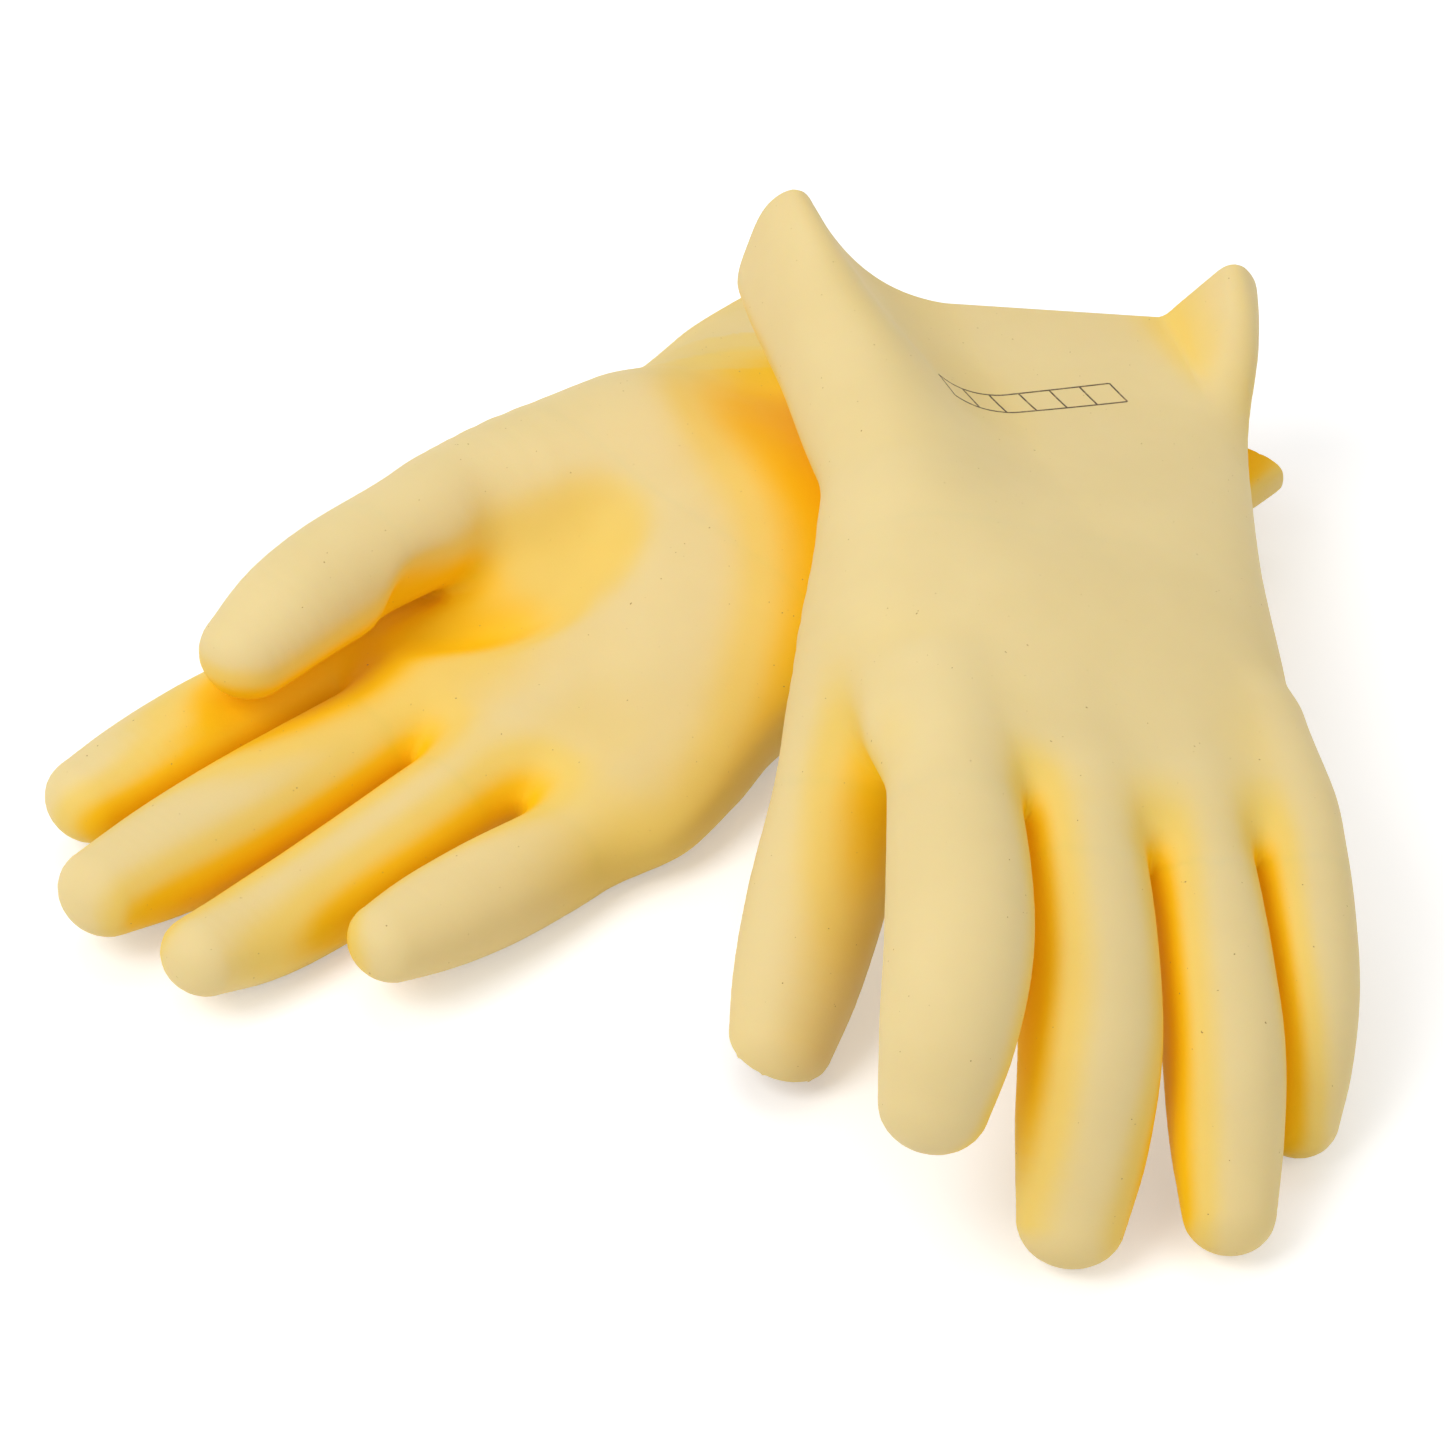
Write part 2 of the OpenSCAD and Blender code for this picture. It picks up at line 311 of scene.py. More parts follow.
# %% [markdown]
# ## One field for each glove
#
# The fingers are first trimmed against their neighbours, so that a hair of space stays between them,
# and then melted together only near the webs. The reach of that melting falls off along the finger, and
# where it runs out the crotch forms by itself, rounded like the real one. The right thumb lies over the
# index finger, so the hand is trimmed against it too, past the place where the thumb is free.

# %% The whole glove's field
# Spacing and corners of the grid
STEP = 1.5
LOW = np.array([-96.0, -26.0, -62.0])
HIGH = np.array([92.0, 292.0, 72.0])
# A field's value where its form is too far away to matter, and how far round a digit it is worked out
FAR = 40
ROOM = 34

# Half of the space between two fingers, and the lip of that cut
SPLIT = 1.1
SPLIT_LIP = 2
# The crotches' line across the hand. Fingers flow together by WEB_REACH before it and hardly past it
WEBS = {
    "right": [(-60, 178), (-30, 186), (-1, 194), (27, 192), (50, 186)],
    "left": [(-60, 182), (-28, 190), (-2, 197), (22, 186), (50, 178)],
}
WEB_REACH = 10
WEB_BEFORE = 14
WEB_LENGTH = 22
FREE_REACH = 1.2
# How far the palm slopes off under the webs, and how far the fingers flow into it
PALM_END_REACH = 16
KNUCKLE_REACH = 9

# How far thumb and hand flow together, along the hand
THUMB_REACH = {"right": [(100, 20), (140, 17), (153, 8), (161, 1.2)], "left": [(100, 14), (180, 12)]}
# How far the hand keeps away from the thumb, past the place where the thumb is free
THUMB_GAP = {"right": [(138, -30), (150, -7), (160, 2.8)], "left": [(140, -30), (200, -30)]}


def corner_grid():
    """Coordinates of the grid that the fields are worked out on."""
    axes = [np.arange(a, b + STEP, STEP) for a, b in zip(LOW, HIGH)]
    return np.stack(np.meshgrid(*axes, indexing="ij"), -1).astype(np.float32)


def block_of(grid, low, high):
    """The part of the grid between two corners, as slices."""
    first = np.maximum(np.floor((low - LOW) / STEP).astype(int), 0)
    last = np.minimum(np.ceil((high - LOW) / STEP).astype(int) + 1, grid.shape[:3])
    return tuple(slice(a, b) for a, b in zip(first, last))


def hand_field(side, grid):
    """Field of one whole glove, before it is dented or laid on anything."""
    x, y, z = grid[..., 0], grid[..., 1], grid[..., 2]
    palm = section_field(side, x, y[:1, :, :1], z)
    palm = press(palm, curve(x, WEB_LINE) - y, PALM_END_REACH)
    fields = []
    for d in range(5):
        path, _ = spine(side, d)
        block = block_of(grid, path.min(0) - ROOM, path.max(0) + ROOM)
        field = np.full(grid.shape[:3], FAR, np.float32)
        field[block] = np.minimum(digit_field(side, d, grid[block]), FAR)
        fields.append(field)
    trimmed = list(fields)
    for d in (INDEX, MIDDLE, RING, LITTLE):
        for other in (d - 1, d + 1):
            if INDEX <= other <= LITTLE:
                trimmed[d] = press(trimmed[d], (fields[other] - fields[d]) / 2 - SPLIT, SPLIT_LIP)
    past = y - curve(x, WEBS[side])
    reach = WEB_REACH * (1 - np.clip((past + WEB_BEFORE) / WEB_LENGTH, 0, 1)) + FREE_REACH
    fingers = trimmed[INDEX]
    for d in (MIDDLE, RING, LITTLE):
        fingers = melt(fingers, trimmed[d], reach)
    hand = melt(palm, fingers, KNUCKLE_REACH)
    hand = press(hand, fields[THUMB] - curve(y, THUMB_GAP[side]), SPLIT_LIP)
    return melt(hand, fields[THUMB], curve(y, THUMB_REACH[side]))


grid = corner_grid()
print("grid of", grid.shape[:3], "points,", STEP, "mm apart")
fields = {side: hand_field(side, grid) for side in PLACE}

# %% [markdown]
# ## Dents
#
# The right glove's film dips into its cuff's mouth, and a hollow lies between its thumb and its palm.
# Each is a stretched ball pressed into the field, with a soft lip.

# %% Press the dents in


def ball(grid, centre, radii, turn):
    """Field of a stretched ball, turned about the vertical by an angle in degrees."""
    c, s = math.cos(math.radians(turn)), math.sin(math.radians(turn))
    x = grid[..., 0] - centre[0]
    y = grid[..., 1] - centre[1]
    u = (c * x + s * y) / radii[0]
    v = (c * y - s * x) / radii[1]
    w = (grid[..., 2] - centre[2]) / radii[2]
    q = np.maximum(np.sqrt(u * u + v * v + w * w), CORE)
    steep = np.sqrt((u / radii[0]) ** 2 + (v / radii[1]) ** 2 + (w / radii[2]) ** 2) / q
    return (q - 1) / np.maximum(steep, SHALLOWEST)


# Each dent of the right glove: centre, radii, turn about the vertical, softness of its lip
DENTS = [
    ((0, -20, 8), (40, 60, 15), 0, 8),
    ((12, 161, 19), (7.5, 20, 11), -36, 7),
    ((5, 137, 28.5), (9, 17, 11), 14, 12),
]
for centre, radii, turn, lip in DENTS:
    fields["right"] = press(fields["right"], ball(grid, centre, radii, turn), lip)
print("round dents in the right glove:", len(DENTS))

# %% [markdown]
# ## The valley in the left cuff
#
# A ball is too round for this one. The valley has a steep side under the thumb's ear, a nearly flat
# floor and a short steep side at the other ear, and it narrows and fades out past the wrist. So it is
# a landscape: one height for each place across and along the cuff, and what lies over it is cut away.

# %% Cut the valley
# All along the cuff from the rim: where the crest runs, its height, the drop to the floor and its width
CREST_X = [(-26, 53.5), (0, 49), (25, 41), (48, 31), (72, 26.5), (108, 19), (125, 12)]
CREST_Z = [(-26, 21.5), (0, 21), (48, 18.5), (95, 21), (118, 24), (140, 40)]
DROP = [(-26, 26.5), (0, 25.5), (30, 19.5), (48, 16), (70, 10.5), (100, 4), (125, 0)]
DROP_WIDTH = [(-26, 46), (0, 44), (48, 31), (70, 26), (110, 22)]
STEEPNESS = 2.2
FLOOR_TILT = 0.13
FAR_SIDE_X = [(-26, -48), (0, -49), (60, -51), (125, -57)]
FAR_SIDE_STEEPNESS = [(-26, 1.9), (0, 1.8), (14, 1.4), (35, 0.35), (60, 0)]
LIP = [(-26, 5), (0, 5), (40, 13), (125, 14)]


def valley_height(x, y):
    """Height of the valley's floor and sides over each place."""
    width = curve(y, DROP_WIDTH)
    across = (curve(y, CREST_X) - x) / width
    fall = np.where(across > 0, 1 - np.clip(1 - across, 0, 1) ** STEEPNESS, STEEPNESS * across)
    floor_rise = FLOOR_TILT * np.maximum(across - 1, 0) * width
    far_side = curve(y, FAR_SIDE_STEEPNESS) * np.maximum(curve(y, FAR_SIDE_X) - x, 0)
    return curve(y, CREST_Z) - curve(y, DROP) * fall + floor_rise + far_side


x, y = grid[:, :, :1, 0], grid[:, :, :1, 1]
height = valley_height(x, y)
steep = np.hypot(1, np.hypot(*np.gradient(height[..., 0], STEP)))[..., None]
fields["left"] = press(fields["left"], (height - grid[..., 2]) / steep, curve(y, LIP))
print("valley: floor", round(float(height.min()), 1), "mm in the left glove's frame")

# %% [markdown]
# ## Lying on the table, and on each other
#
# Rubber this soft goes flat where it rests. Cutting the right glove's field at the table gives it
# those flats, and pressing the right glove's field into the left one makes the upper cuff lie down on
# the lower one with a sliver of air between.

# %% Lay the gloves down
GLOVE_GAP = 0.5
REST_LIP = 3


def sample(field, points):
    """Field at any points, from the eight grid values around each."""
    at = np.clip((points - LOW) / STEP, 0, np.array(field.shape) - 1.001)
    cell = at.astype(int)
    t = at - cell
    total = 0
    for i in (0, 1):
        for j in (0, 1):
            for k in (0, 1):
                share = np.abs(1 - i - t[..., 0]) * np.abs(1 - j - t[..., 1]) * np.abs(1 - k - t[..., 2])
                total = total + share * field[cell[..., 0] + i, cell[..., 1] + j, cell[..., 2] + k]
    return total


def moved(points, matrix):
    """Points taken through a matrix."""
    return points @ matrix[:3, :3].T + matrix[:3, 3]


for side in PLACE:
    height = moved(grid, placing(side))[..., 2]
    fields[side] = press(fields[side], height, REST_LIP)
left_to_right = np.linalg.inv(placing("right")) @ placing("left")
in_right = moved(grid, left_to_right)
inside_grid = np.all((in_right > LOW + STEP) & (in_right < HIGH - STEP), -1)
under = np.where(inside_grid, sample(fields["right"], in_right), FAR)
beyond_rim = np.maximum(-in_right[..., 1], 0)
clear_of_right = np.hypot(np.maximum(under, 0), beyond_rim) + np.minimum(under, 0)
fields["left"] = press(fields["left"], clear_of_right - GLOVE_GAP, REST_LIP)
print("the gloves rest on the table and on each other")

# %% [markdown]
# ## From field to skin
#
# A surface net puts one vertex in each grid cell that the skin passes through and joins neighbours
# with quads, so the mesh is even and has no poles. Each vertex is then pulled onto the exact skin
# along the field's slope, and that slope is also the smooth normal that the shading uses.

# %% Surface net
# How far apart a slope is measured, and how the vertices are pulled onto the skin
SLOPE_STEP = 0.6 * STEP
PULLS = 3
PULL_SHARE = 0.8


def slope(field, points):
    """Unit direction in which the field grows."""
    push = np.eye(3) * SLOPE_STEP
    grad = np.stack([sample(field, points + p) - sample(field, points - p) for p in push], -1)
    return grad / np.maximum(np.linalg.norm(grad, axis=-1, keepdims=True), 1e-9)


def surface_net(field):
    """Vertices and quads of the surface where the field is zero."""
    inside = field < 0
    corners = [(i, j, k) for i in (0, 1) for j in (0, 1) for k in (0, 1)]
    size = np.array(field.shape) - 1
    shifted = [inside[i : size[0] + i, j : size[1] + j, k : size[2] + k] for i, j, k in corners]
    count = sum(corner.astype(np.int8) for corner in shifted)
    active = (count > 0) & (count < 8)
    cells = np.argwhere(active)
    total = np.zeros((len(cells), 3))
    hits = np.zeros(len(cells))
    for a in corners:
        for axis in range(3):
            if a[axis]:
                continue
            b = np.array(a)
            b[axis] = 1
            fa = field[tuple((cells + a).T)]
            fb = field[tuple((cells + b).T)]
            crossed = (fa < 0) != (fb < 0)
            t = fa[crossed] / (fa[crossed] - fb[crossed])
            total[crossed] += np.array(a) + t[:, None] * (b - np.array(a))
            hits[crossed] += 1
    vertices = LOW + STEP * (cells + total / hits[:, None])
    number = np.full(active.shape, -1)
    number[active] = np.arange(len(cells))
    quads = []
    for axis in range(3):
        u, v = (axis + 1) % 3, (axis + 2) % 3
        here = np.moveaxis(inside, (axis, u, v), (0, 1, 2))
        cell = np.moveaxis(number, (axis, u, v), (0, 1, 2))
        edge = (here[:-1] != here[1:])[:, 1:-1, 1:-1]
        out = here[:-1][:, 1:-1, 1:-1][edge]
        i, j, k = np.nonzero(edge)
        j = j + 1
        k = k + 1
        ring = np.stack([cell[i, j - 1, k - 1], cell[i, j, k - 1], cell[i, j, k], cell[i, j - 1, k]], -1)
        ring[~out] = ring[~out][:, ::-1]
        quads.append(ring)
    return vertices, np.concatenate(quads)


# The right cuff is a little longer on the little finger's side: rise of its rim line across the hand
RIM_SKEW = {"right": 0.15, "left": 0}
# How near the rim's plane a vertex is on it, counts as on it, and is merged with its neighbour
ON_PLANE = 0.1
ON_RIM = 0.2
MERGE = 0.3


def cut_at_rim(side, vertices, quads):
    """The mesh without what lies before the rim's plane, cut along it."""
    mesh = bpy.data.meshes.new("cut")
    mesh.from_pydata(vertices.tolist(), [], quads.tolist())
    bm = bmesh.new()
    bm.from_mesh(mesh)
    everything = bm.verts[:] + bm.edges[:] + bm.faces[:]
    ahead = Vector((-RIM_SKEW[side], 1, 0))
    cut = {"dist": ON_PLANE, "plane_co": (0, 0, 0), "plane_no": ahead, "clear_inner": True}
    bmesh.ops.bisect_plane(bm, geom=everything, **cut)
    rim = [v for v in bm.verts if v.co.dot(ahead) < ON_RIM]
    bmesh.ops.remove_doubles(bm, verts=rim, dist=MERGE)
    bm.verts.ensure_lookup_table()
    points = np.array([v.co for v in bm.verts])
    faces = [[v.index for v in f.verts] for f in bm.faces]
    bm.free()
    bpy.data.meshes.remove(mesh)
    return points, faces


skins = {}
for side in PLACE:
    points, quads = surface_net(fields[side])
    for _ in range(PULLS):
        points = points - sample(fields[side], points)[:, None] * slope(fields[side], points) * PULL_SHARE
    points, faces = cut_at_rim(side, points, quads)
    skins[side] = (points, slope(fields[side], points), faces)
    print(side, "skin:", len(points), "vertices,", len(faces), "faces")

# %% [markdown]
# ## Where the rubber glows
#
# Pale latex lets light in, and between two fingers it comes out again deep yellow, because it has
# passed through rubber several times. A render with a few bounces shows part of that. The rest is
# painted into the colour as painted shade and painted fold light, from a measure kept on the skin:
# how much of the space around each vertex other rubber fills. Both gloves' fields are at hand, so it
# is worked out from them, with no rays.

# %% Painted shade of each point of the skin, from how sheltered it is
# Looks out from the skin: straight up, and two rings of them tilted by some degrees
LOOKS = [(0, 0, 1)]
for ring, count in ((32, 6), (62, 8)):
    for k in range(count):
        turn = 2 * math.pi * (k + ring / 90) / count
        tilt = math.radians(ring)
        LOOKS.append((math.sin(tilt) * math.cos(turn), math.sin(tilt) * math.sin(turn), math.cos(tilt)))
DISTANCES = (3, 7, 14, 24)


def near_field(side, points):
    """Field of one glove at points in its own frame, and far away outside its grid."""
    inside = np.all((points > LOW + STEP) & (points < HIGH - STEP), -1)
    return np.where(inside, sample(fields[side], points), FAR)


def both_fields(side, points):
    """Distance to the nearer glove, for points in one glove's frame."""
    other = "left" if side == "right" else "right"
    across = moved(points, np.linalg.inv(placing(other)) @ placing(side))
    return np.minimum(near_field(side, points), near_field(other, across))


def painted_shade(side, points, normals):
    """Share of the room around each point that rubber fills, from 0 in the open to 1 in a fold."""
    seed = np.where(np.abs(normals[:, :1]) < 0.7, [[1.0, 0, 0]], [[0, 1.0, 0]])
    u = np.cross(normals, seed)
    u /= np.linalg.norm(u, axis=1, keepdims=True)
    v = np.cross(normals, u)
    total = np.zeros(len(points))
    weight = 0
    for a, b, c in LOOKS:
        way = a * u + b * v + c * normals
        worst = np.zeros(len(points))
        for distance in DISTANCES:
            free = both_fields(side, points + way * distance)
            worst = np.maximum(worst, 1 - np.clip(free / (c * distance), 0, 1))
        total += c * worst
        weight += c
    return total / weight


# Skin low over the table gets a little more painted shade than skin high up, for the shade near the table
LOW_DOWN = 42
LOW_PAINTED_SHADE = 0.2

painted_shades = {}
for side in PLACE:
    points, normals, _ = skins[side]
    height = moved(points, placing(side))[:, 2]
    values = painted_shade(side, points, normals) + LOW_PAINTED_SHADE * np.clip(1 - height / LOW_DOWN, 0, 1)
    painted_shades[side] = values
    print(side, "shelter:", round(float(values.mean()), 3), "mean,", round(float(values.max()), 3), "most")

# %% [markdown]
# ## Colour and surface of the rubber
#
# Natural latex without pigment is cream where light falls on it. In folds the material paints it
# egg-yolk yellow, as painted shade and painted fold light for light that has passed through rubber
# again and again. Its surface is dull, because it is dusted, with a faint broad sheen and some light
# scattered under the skin. One material does all of it: the measure of how sheltered the skin is
# paints that fold yellow, a wide noise makes the film's slight clouds, and the peaks of a fine one are
# specks caught in the dip. Two more noises vary the dullness and give the film its grain.

# %% Latex material


def link(tree, a, a_name, b, b_name):
    """Join an output of one node to an input of another."""
    tree.links.new(a.outputs[a_name], b.inputs[b_name])


def noise(tree, scale, detail, rough=0.5):
    """Noise on the piece's own coordinates."""
    where = tree.nodes.new("ShaderNodeTexCoord")
    node = tree.nodes.new("ShaderNodeTexNoise")
    node.inputs["Scale"].default_value = scale
    node.inputs["Detail"].default_value = detail
    node.inputs["Roughness"].default_value = rough
    link(tree, where, "Object", node, "Vector")
    return node


def ramp(tree, source, socket, stops):
    """Colour ramp with the given (place, colour) stops, fed by a value."""
    node = tree.nodes.new("ShaderNodeValToRGB")
    bar = node.color_ramp
    bar.interpolation = "EASE"
    while len(bar.elements) < len(stops):
        bar.elements.new(0.5)
    for element, (place, colour) in zip(bar.elements, stops):
        element.position = place
        element.color = (*colour, 1)
    link(tree, source, socket, node, "Fac")
    return node


def mix(tree, kind, factor, a, b):
    """Colour mix of two nodes' colours, or of a node's colour and a plain one."""
    node = tree.nodes.new("ShaderNodeMix")
    node.data_type = "RGBA"
    node.blend_type = kind
    for value, slot in ((factor, 0), (a, 6), (b, 7)):
        if isinstance(value, bpy.types.NodeSocket):
            tree.links.new(value, node.inputs[slot])
        else:
            node.inputs[slot].default_value = value
    return node.outputs[2]


CREAM = (0.87, 0.69, 0.33)
# Painted shade colours: honey and yolk yellow stand in for light passed through rubber and shade in folds
PAINTED_FOLD_HONEY = (0.92, 0.66, 0.16)
PAINTED_FOLD_YOLK = (0.95, 0.56, 0.003)
SPECK = (0.42, 0.25, 0.07)
DULL = (0.93, 0.92, 0.88)
BLACK = (0, 0, 0)
WHITE = (1, 1, 1)


def latex_material():
    """Cream rubber, painted yolk yellow where rubber surrounds it, as painted shade and painted fold light.
    """
    material = bpy.data.materials.new("latex")
    material.use_nodes = True
    tree = material.node_tree
    shader = tree.nodes["Principled BSDF"]
    painted_shade_source = tree.nodes.new("ShaderNodeAttribute")
    painted_shade_source.attribute_name = "painted_shade"
    # Painted shade: cream in the open, honey and yolk yellow painted into folds and hollows
    tone = ramp(tree, painted_shade_source, "Fac", [(0.0, CREAM), (0.05, CREAM), (0.42, PAINTED_FOLD_HONEY), (0.8, PAINTED_FOLD_YOLK)])
    clouds = noise(tree, 28, 3)
    cloud_tone = ramp(tree, clouds, "Fac", [(0.3, DULL), (0.7, WHITE)])
    colour = mix(tree, "MULTIPLY", 0.6, tone.outputs["Color"], cloud_tone.outputs["Color"])
    specks = noise(tree, 1100, 1)
    speck_mask = ramp(tree, specks, "Fac", [(0.79, BLACK), (0.82, WHITE)])
    colour = mix(tree, "MIX", speck_mask.outputs["Color"], colour, (*SPECK, 1))
    tree.links.new(colour, shader.inputs["Base Color"])
    shader.inputs["Subsurface Weight"].default_value = 0.2
    shader.inputs["Subsurface Radius"].default_value = (1.0, 0.55, 0.12)
    shader.inputs["Subsurface Scale"].default_value = 0.0012
    shader.inputs["Specular IOR Level"].default_value = 0.25
    # Painted glow: emission in folds, standing in for light that rubber passes on from behind
    painted_glow = ramp(tree, painted_shade_source, "Fac", [(0.3, BLACK), (0.9, PAINTED_FOLD_YOLK)])
    link(tree, painted_glow, "Color", shader, "Emission Color")
    shader.inputs["Emission Strength"].default_value = 0.065
    dust = noise(tree, 160, 4)
    rough = tree.nodes.new("ShaderNodeMapRange")
    rough.inputs["To Min"].default_value = 0.52
    rough.inputs["To Max"].default_value = 0.7
    link(tree, dust, "Fac", rough, "Value")
    link(tree, rough, "Result", shader, "Roughness")
    grain = noise(tree, 1400, 3, 0.6)
    bump = tree.nodes.new("ShaderNodeBump")
    bump.inputs["Strength"].default_value = 0.12
    bump.inputs["Distance"].default_value = 0.0002
    link(tree, grain, "Fac", bump, "Height")
    link(tree, bump, "Normal", shader, "Normal")
    return material


latex = latex_material()
print("material:", latex.name, len(latex.node_tree.nodes), "nodes")

# %% [markdown]
# ## One skin, seven pieces a glove
#
# The model's digits and left cuff move, so the skin is shared out among them. The cuts lie where
# a finger is already a free tube, past its crotch. Neighbouring pieces share their edge and their
# normals, so no seam shows. Every piece gets the film's inner wall and is closed.

# %% Share the skin out and give it its wall
# How far past its joint each digit is cut from the palm
# How far before that each cut runs
CUT_PAST = {"right": [41, 9, 9, 9, 13], "left": [29, 7, 9, 9, 14]}
# How far before that each cut runs, so that the edge of a cut stays with the hand
CUT_MARGIN = 2.5
# The skin of a free digit lies within this share of the digit's width from its centre line
FREE_GIRTH = 0.6
# Half the length of wrist that the cuff's piece takes in past the cuff
WRIST_HALF = 14
# The film's inner wall gets painted shade all over, at this share
INNER_PAINTED_SHADE = 0.5


def digit_frame(side, d):
    """Joint and direction of a digit's first bone, in the glove's own frame."""
    return joint_points(side)[d], heading(LEAN[side][d], BENDS[side][d][0] * PALM_SIDE[side])


def regions(side, points, faces):
    """Region of each face: 0 to 4 for the digits, 5 for the palm and 6 for the cuff."""
    centre = np.array([points[f].mean(0) for f in faces])
    nearest = np.full(len(faces), 1e3)
    owner = np.full(len(faces), 5)
    for d in range(5):
        path, _ = spine(side, d)
        past_joint = path[None, PIECES_PER_BONE:]
        away = np.linalg.norm(centre[:, None] - past_joint, axis=-1).min(1) / DIGIT_WIDTH[side][d]
        closer = away < nearest
        nearest[closer] = away[closer]
        owner[closer] = d
    # Skin far from every digit's centre line is the hand's, such as the palm right under the thumb
    owner[nearest > FREE_GIRTH] = 5
    for d in range(5):
        start, way = digit_frame(side, d)
        past = (centre - start) @ way
        owner[(owner == d) & (past < CUT_PAST[side][d] - CUT_MARGIN)] = 5
    owner[(owner == 5) & (centre[:, 1] < CUFF + WRIST_HALF + CUT_MARGIN)] = 6
    return owner


def make_piece(name, side, skin, chosen):
    """Closed piece of film from the chosen faces of a skin."""
    points, normals, faces = skin
    faces = [faces[i] for i in chosen]
    used = sorted({v for f in faces for v in f})
    renumber = {v: i for i, v in enumerate(used)}
    outer = points[used]
    normal = normals[used]
    count = len(used)
    shell = [[renumber[v] for v in f] for f in faces]
    inner_faces = [[v + count for v in reversed(f)] for f in shell]
    edges = dict.fromkeys((a, b) for f in shell for a, b in zip(f, f[1:] + f[:1]))
    border = [(a, b) for a, b in edges if (b, a) not in edges]
    strip = [[b, a, a + count, b + count] for a, b in border]
    vertices = np.concatenate([outer, outer - normal * WALL])
    vertex_normals = np.concatenate([normal, -normal])
    matrix = placing(side)
    mesh = bpy.data.meshes.new(name)
    mesh.from_pydata((moved(vertices, matrix) * MM).tolist(), [], shell + inner_faces + strip)
    mesh.shade_smooth()
    # Painted shade amount, which the material turns into fold yellow and painted fold light
    store = mesh.attributes.new("painted_shade", "FLOAT", "POINT")
    value = np.concatenate([painted_shades[side][used], np.full(count, INNER_PAINTED_SHADE)])
    store.data.foreach_set("value", value.astype(np.float32))
    turned = vertex_normals @ matrix[:3, :3].T
    mesh.normals_split_custom_set_from_vertices(turned.tolist())
    mesh.materials.append(latex)
    piece = bpy.data.objects.new(name, mesh)
    bpy.context.scene.collection.objects.link(piece)
    print(name, len(vertices), "vertices")
    return piece


def on_table(side, point):
    """Point of a glove's own frame in the table's frame, in metres."""
    return tuple(moved(np.array(point), placing(side)) * MM)


pieces = {}
for side in PLACE:
    points, _, faces = skins[side]
    owner = regions(side, points, faces)
    hand = f"{side}_hand"
    for region in range(7):
        node = f"{side}_" + (DIGITS + ["palm", "cuff"])[region]
        piece = make_piece(node + "_film", side, skins[side], np.flatnonzero(owner == region))
        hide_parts(node)
        if region < 5:
            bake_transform(piece)
        elif node == "left_cuff":
            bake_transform(piece)
        else:
            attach(piece, hand)
        pieces[node] = piece

# %% [markdown]
# ## The strip for test dates
#
# A ruled strip of empty boxes is stamped on the back of the left cuff, where the dates of its tests
# are written. The boxes repeat and follow the skin, so Geometry Nodes rules them: a flat grid's edges
# become curves, the curves are dropped onto the skin, and each gets the width of a stamped line.
# The words and marks that such gloves also carry are left out.

# %% Ink material and the strip's node group
BOXES = 6
BOX_MM = 8.2
# The strip's turn on the cuff in degrees, and where it starts its drop in the left glove's frame
STRIP_TURN = 17
STRIP_AT = (-5, 44.5, 40)
# The ruled line's width and height, the spacing of its rings, and how far it may drop to the skin
INK_LINE = 0.4
INK_HEIGHT = 0.16
INK_RINGS = 0.6
LONGEST_DROP = 200


def ink_material():
    """Brown-black stamping ink, worn thin in places."""
    material = bpy.data.materials.new("ink")
    material.use_nodes = True
    tree = material.node_tree
    shader = tree.nodes["Principled BSDF"]
    wear = noise(tree, 900, 2)
    tone = ramp(tree, wear, "Fac", [(0.42, (0.09, 0.055, 0.02)), (0.7, (0.3, 0.2, 0.08))])
    link(tree, tone, "Color", shader, "Base Color")
    shader.inputs["Roughness"].default_value = 0.6
    return material


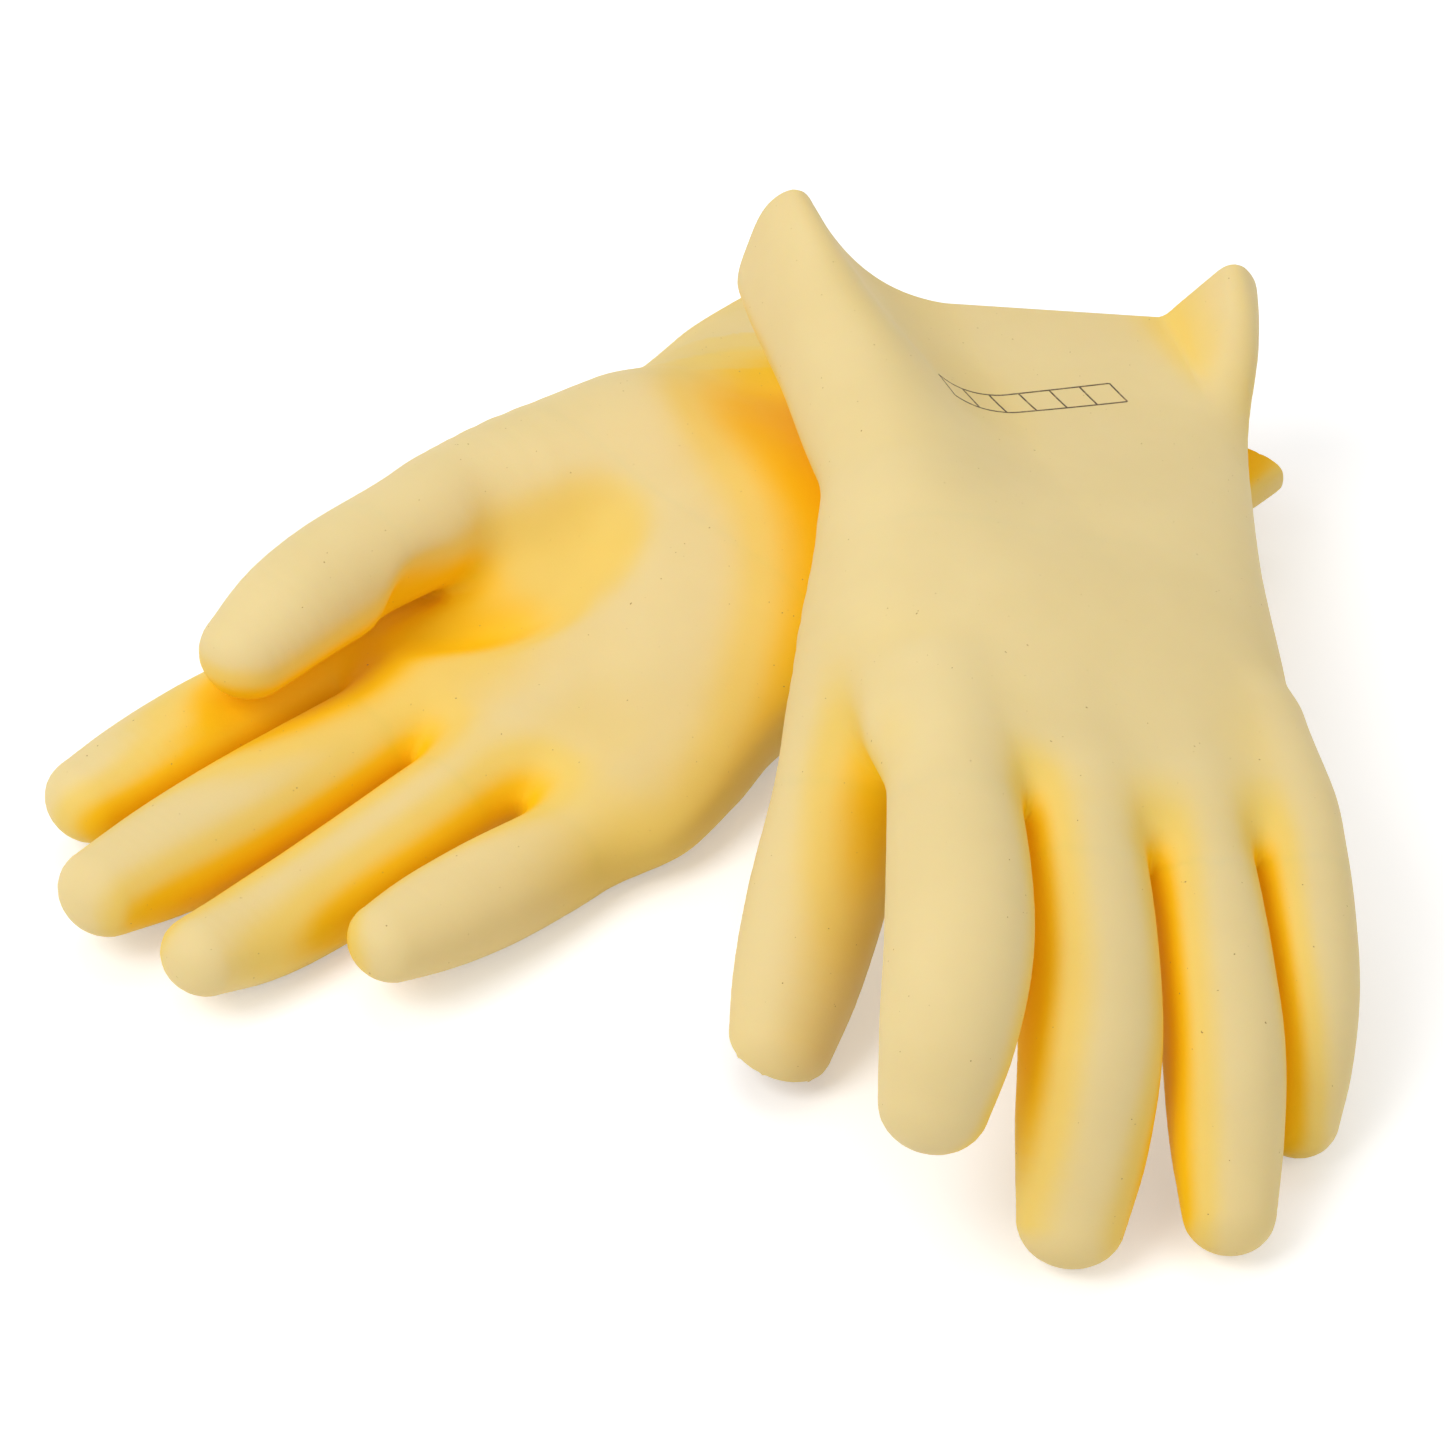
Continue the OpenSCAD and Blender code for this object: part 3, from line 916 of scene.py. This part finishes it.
def strip_group():
    """Geometry Nodes: a row of ruled boxes dropped along an axis onto a surface."""
    group = bpy.data.node_groups.new("ruled strip", "GeometryNodeTree")
    sockets = {}
    for name, kind in (
        ("Surface", "NodeSocketObject"),
        ("Material", "NodeSocketMaterial"),
        ("Boxes", "NodeSocketInt"),
        ("Box size", "NodeSocketFloat"),
        ("Line width", "NodeSocketFloat"),
        ("Place", "NodeSocketVector"),
        ("Rotation", "NodeSocketRotation"),
        ("Down", "NodeSocketVector"),
    ):
        sockets[name] = group.interface.new_socket(name, in_out="INPUT", socket_type=kind).identifier
    group.interface.new_socket("Geometry", in_out="OUTPUT", socket_type="NodeSocketGeometry")
    new = group.nodes.new
    given = new("NodeGroupInput")

    def wire(a, out, b, into):
        group.links.new(a.outputs[out], b.inputs[into])

    length = new("ShaderNodeMath")
    length.operation = "MULTIPLY"
    wire(given, "Boxes", length, 0)
    wire(given, "Box size", length, 1)
    columns = new("ShaderNodeMath")
    columns.inputs[1].default_value = 1
    wire(given, "Boxes", columns, 0)
    sheet = new("GeometryNodeMeshGrid")
    wire(length, "Value", sheet, "Size X")
    wire(given, "Box size", sheet, "Size Y")
    wire(columns, "Value", sheet, "Vertices X")
    sheet.inputs["Vertices Y"].default_value = 2
    lay = new("GeometryNodeTransform")
    wire(sheet, "Mesh", lay, "Geometry")
    wire(given, "Place", lay, "Translation")
    wire(given, "Rotation", lay, "Rotation")
    lines = new("GeometryNodeMeshToCurve")
    wire(lay, "Geometry", lines, "Mesh")
    finer = new("GeometryNodeResampleCurve")
    finer.mode = "LENGTH"
    finer.inputs["Length"].default_value = INK_RINGS * MM
    wire(lines, "Curve", finer, "Curve")
    surface = new("GeometryNodeObjectInfo")
    wire(given, "Surface", surface, "Object")
    drop = new("GeometryNodeRaycast")
    wire(surface, "Geometry", drop, "Target Geometry")
    wire(given, "Down", drop, "Ray Direction")
    drop.inputs["Ray Length"].default_value = LONGEST_DROP * MM
    settle = new("GeometryNodeSetPosition")
    wire(finer, "Curve", settle, "Geometry")
    wire(drop, "Hit Position", settle, "Position")
    profile = new("GeometryNodeCurvePrimitiveQuadrilateral")
    wire(given, "Line width", profile, "Width")
    profile.inputs["Height"].default_value = INK_HEIGHT * MM
    sweep = new("GeometryNodeCurveToMesh")
    sweep.inputs["Fill Caps"].default_value = True
    wire(settle, "Geometry", sweep, "Curve")
    wire(profile, "Curve", sweep, "Profile Curve")
    real = new("GeometryNodeRealizeInstances")
    wire(sweep, "Mesh", real, "Geometry")
    paint = new("GeometryNodeSetMaterial")
    wire(real, "Geometry", paint, "Geometry")
    wire(given, "Material", paint, "Material")
    wire(paint, "Geometry", new("NodeGroupOutput"), "Geometry")
    return group, sockets


ink = ink_material()
group, sockets = strip_group()
turn_to_table = Matrix(placing("left")[:3, :3].tolist()) @ Matrix.Rotation(math.radians(STRIP_TURN), 3, "Z")
carrier = bpy.data.objects.new("strip carrier", bpy.data.meshes.new("strip carrier"))
bpy.context.scene.collection.objects.link(carrier)
ruling = carrier.modifiers.new("ruled strip", "NODES")
ruling.node_group = group
for name, value in (
    ("Surface", pieces["left_cuff"]),
    ("Material", ink),
    ("Boxes", BOXES),
    ("Box size", BOX_MM * MM),
    ("Line width", INK_LINE * MM),
    ("Place", on_table("left", STRIP_AT)),
    ("Rotation", tuple(turn_to_table.to_euler())),
    ("Down", tuple(-placing("left")[:3, 2])),
):
    ruling[sockets[name]] = value
graph = bpy.context.evaluated_depsgraph_get()
strip_mesh = bpy.data.meshes.new_from_object(carrier.evaluated_get(graph))
bpy.data.objects.remove(carrier)
strip = bpy.data.objects.new("left_cuff_date_strip", strip_mesh)
bpy.context.scene.collection.objects.link(strip)
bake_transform(strip)
print("strip:", BOXES, "boxes,", len(strip_mesh.polygons), "faces")

# %% [markdown]
# ## Table, light and camera
#
# The table is plain and pale. It shows white to the camera and keeps the gloves' soft shadow. Three
# large soft lamps stand round it, the strongest at the front left, as in a small product studio.

# %% Table


def seen_ray(tree):
    """Node that is 1 for rays from the camera, a reflection or a clear piece, and 0 for all others."""
    rays = tree.nodes.new("ShaderNodeLightPath")
    source, name = rays, "Is Camera Ray"
    for other in ("Is Glossy Ray", "Is Transmission Ray"):
        either = tree.nodes.new("ShaderNodeMath")
        either.operation = "MAXIMUM"
        link(tree, source, name, either, 0)
        link(tree, rays, other, either, 1)
        source, name = either, "Value"
    return source


def table_material():
    """White floor that still takes a shadow."""
    material = bpy.data.materials.new("table")
    material.use_nodes = True
    tree = material.node_tree
    shader = tree.nodes["Principled BSDF"]
    shader.inputs["Base Color"].default_value = (0.9, 0.9, 0.9, 1)
    shader.inputs["Roughness"].default_value = 0.9
    shader.inputs["Emission Strength"].default_value = 0.35
    link(tree, seen_ray(tree), "Value", shader, "Emission Color")
    return material


# The table's half width in metres, and how far its top is under the gloves
TABLE_HALF = 6
TABLE_DROP = 0.0003

table_mesh = bpy.data.meshes.new("table")
corners = [(x * TABLE_HALF, y * TABLE_HALF, 0) for x, y in ((-1, -1), (1, -1), (1, 1), (-1, 1))]
table_mesh.from_pydata(corners, [], [(0, 1, 2, 3)])
table_mesh.materials.append(table_material())
table_top = bpy.data.objects.new("table", table_mesh)
table_top.location.z = -TABLE_DROP
bpy.context.scene.collection.objects.link(table_top)

# %% Lamps and world


def lamp(name, place, size, power, aim=(0, 0, 0.02)):
    """Square soft lamp that faces its aim."""
    light = bpy.data.lights.new(name, "AREA")
    light.shape = "SQUARE"
    light.size = size
    light.energy = power
    holder = bpy.data.objects.new(name, light)
    holder.location = place
    holder.rotation_euler = (Vector(aim) - Vector(place)).to_track_quat("-Z", "Y").to_euler()
    bpy.context.scene.collection.objects.link(holder)


lamp("key", (-0.9, -0.6, 1.3), 0.9, 12.2)
lamp("fill", (1.1, -0.7, 0.9), 0.9, 3)
lamp("top", (-0.1, 0.6, 1.5), 1.0, 5)

AIR_LIGHT = 0.42
world = bpy.data.worlds.new("studio")
bpy.context.scene.world = world
world.use_nodes = True
tree = world.node_tree
shade = tree.nodes["Background"]
shade.inputs["Color"].default_value = (*WHITE, 1)
shade.inputs["Strength"].default_value = AIR_LIGHT
bright = tree.nodes.new("ShaderNodeBackground")
bright.inputs["Color"].default_value = (*WHITE, 1)
bright.inputs["Strength"].default_value = 1
choose = tree.nodes.new("ShaderNodeMixShader")
link(tree, seen_ray(tree), "Value", choose, "Fac")
tree.links.new(shade.outputs["Background"], choose.inputs[1])
tree.links.new(bright.outputs["Background"], choose.inputs[2])
link(tree, choose, "Shader", tree.nodes["World Output"], "Surface")

# %% Camera
TARGET = Vector((0.009, -0.0414, 0.040))
DISTANCE = 0.9
ELEVATION = math.radians(40)
SENSOR = 36
LENS = 104.4
camera = bpy.data.cameras.new("camera")
camera.sensor_width = SENSOR
camera.lens = LENS
eye = bpy.data.objects.new("camera", camera)
eye.location = TARGET + DISTANCE * Vector((0, -math.cos(ELEVATION), math.sin(ELEVATION)))
eye.rotation_euler = (math.pi / 2 - ELEVATION, 0, 0)
bpy.context.scene.collection.objects.link(eye)
bpy.context.scene.camera = eye
bpy.context.scene.view_settings.view_transform = "Standard"
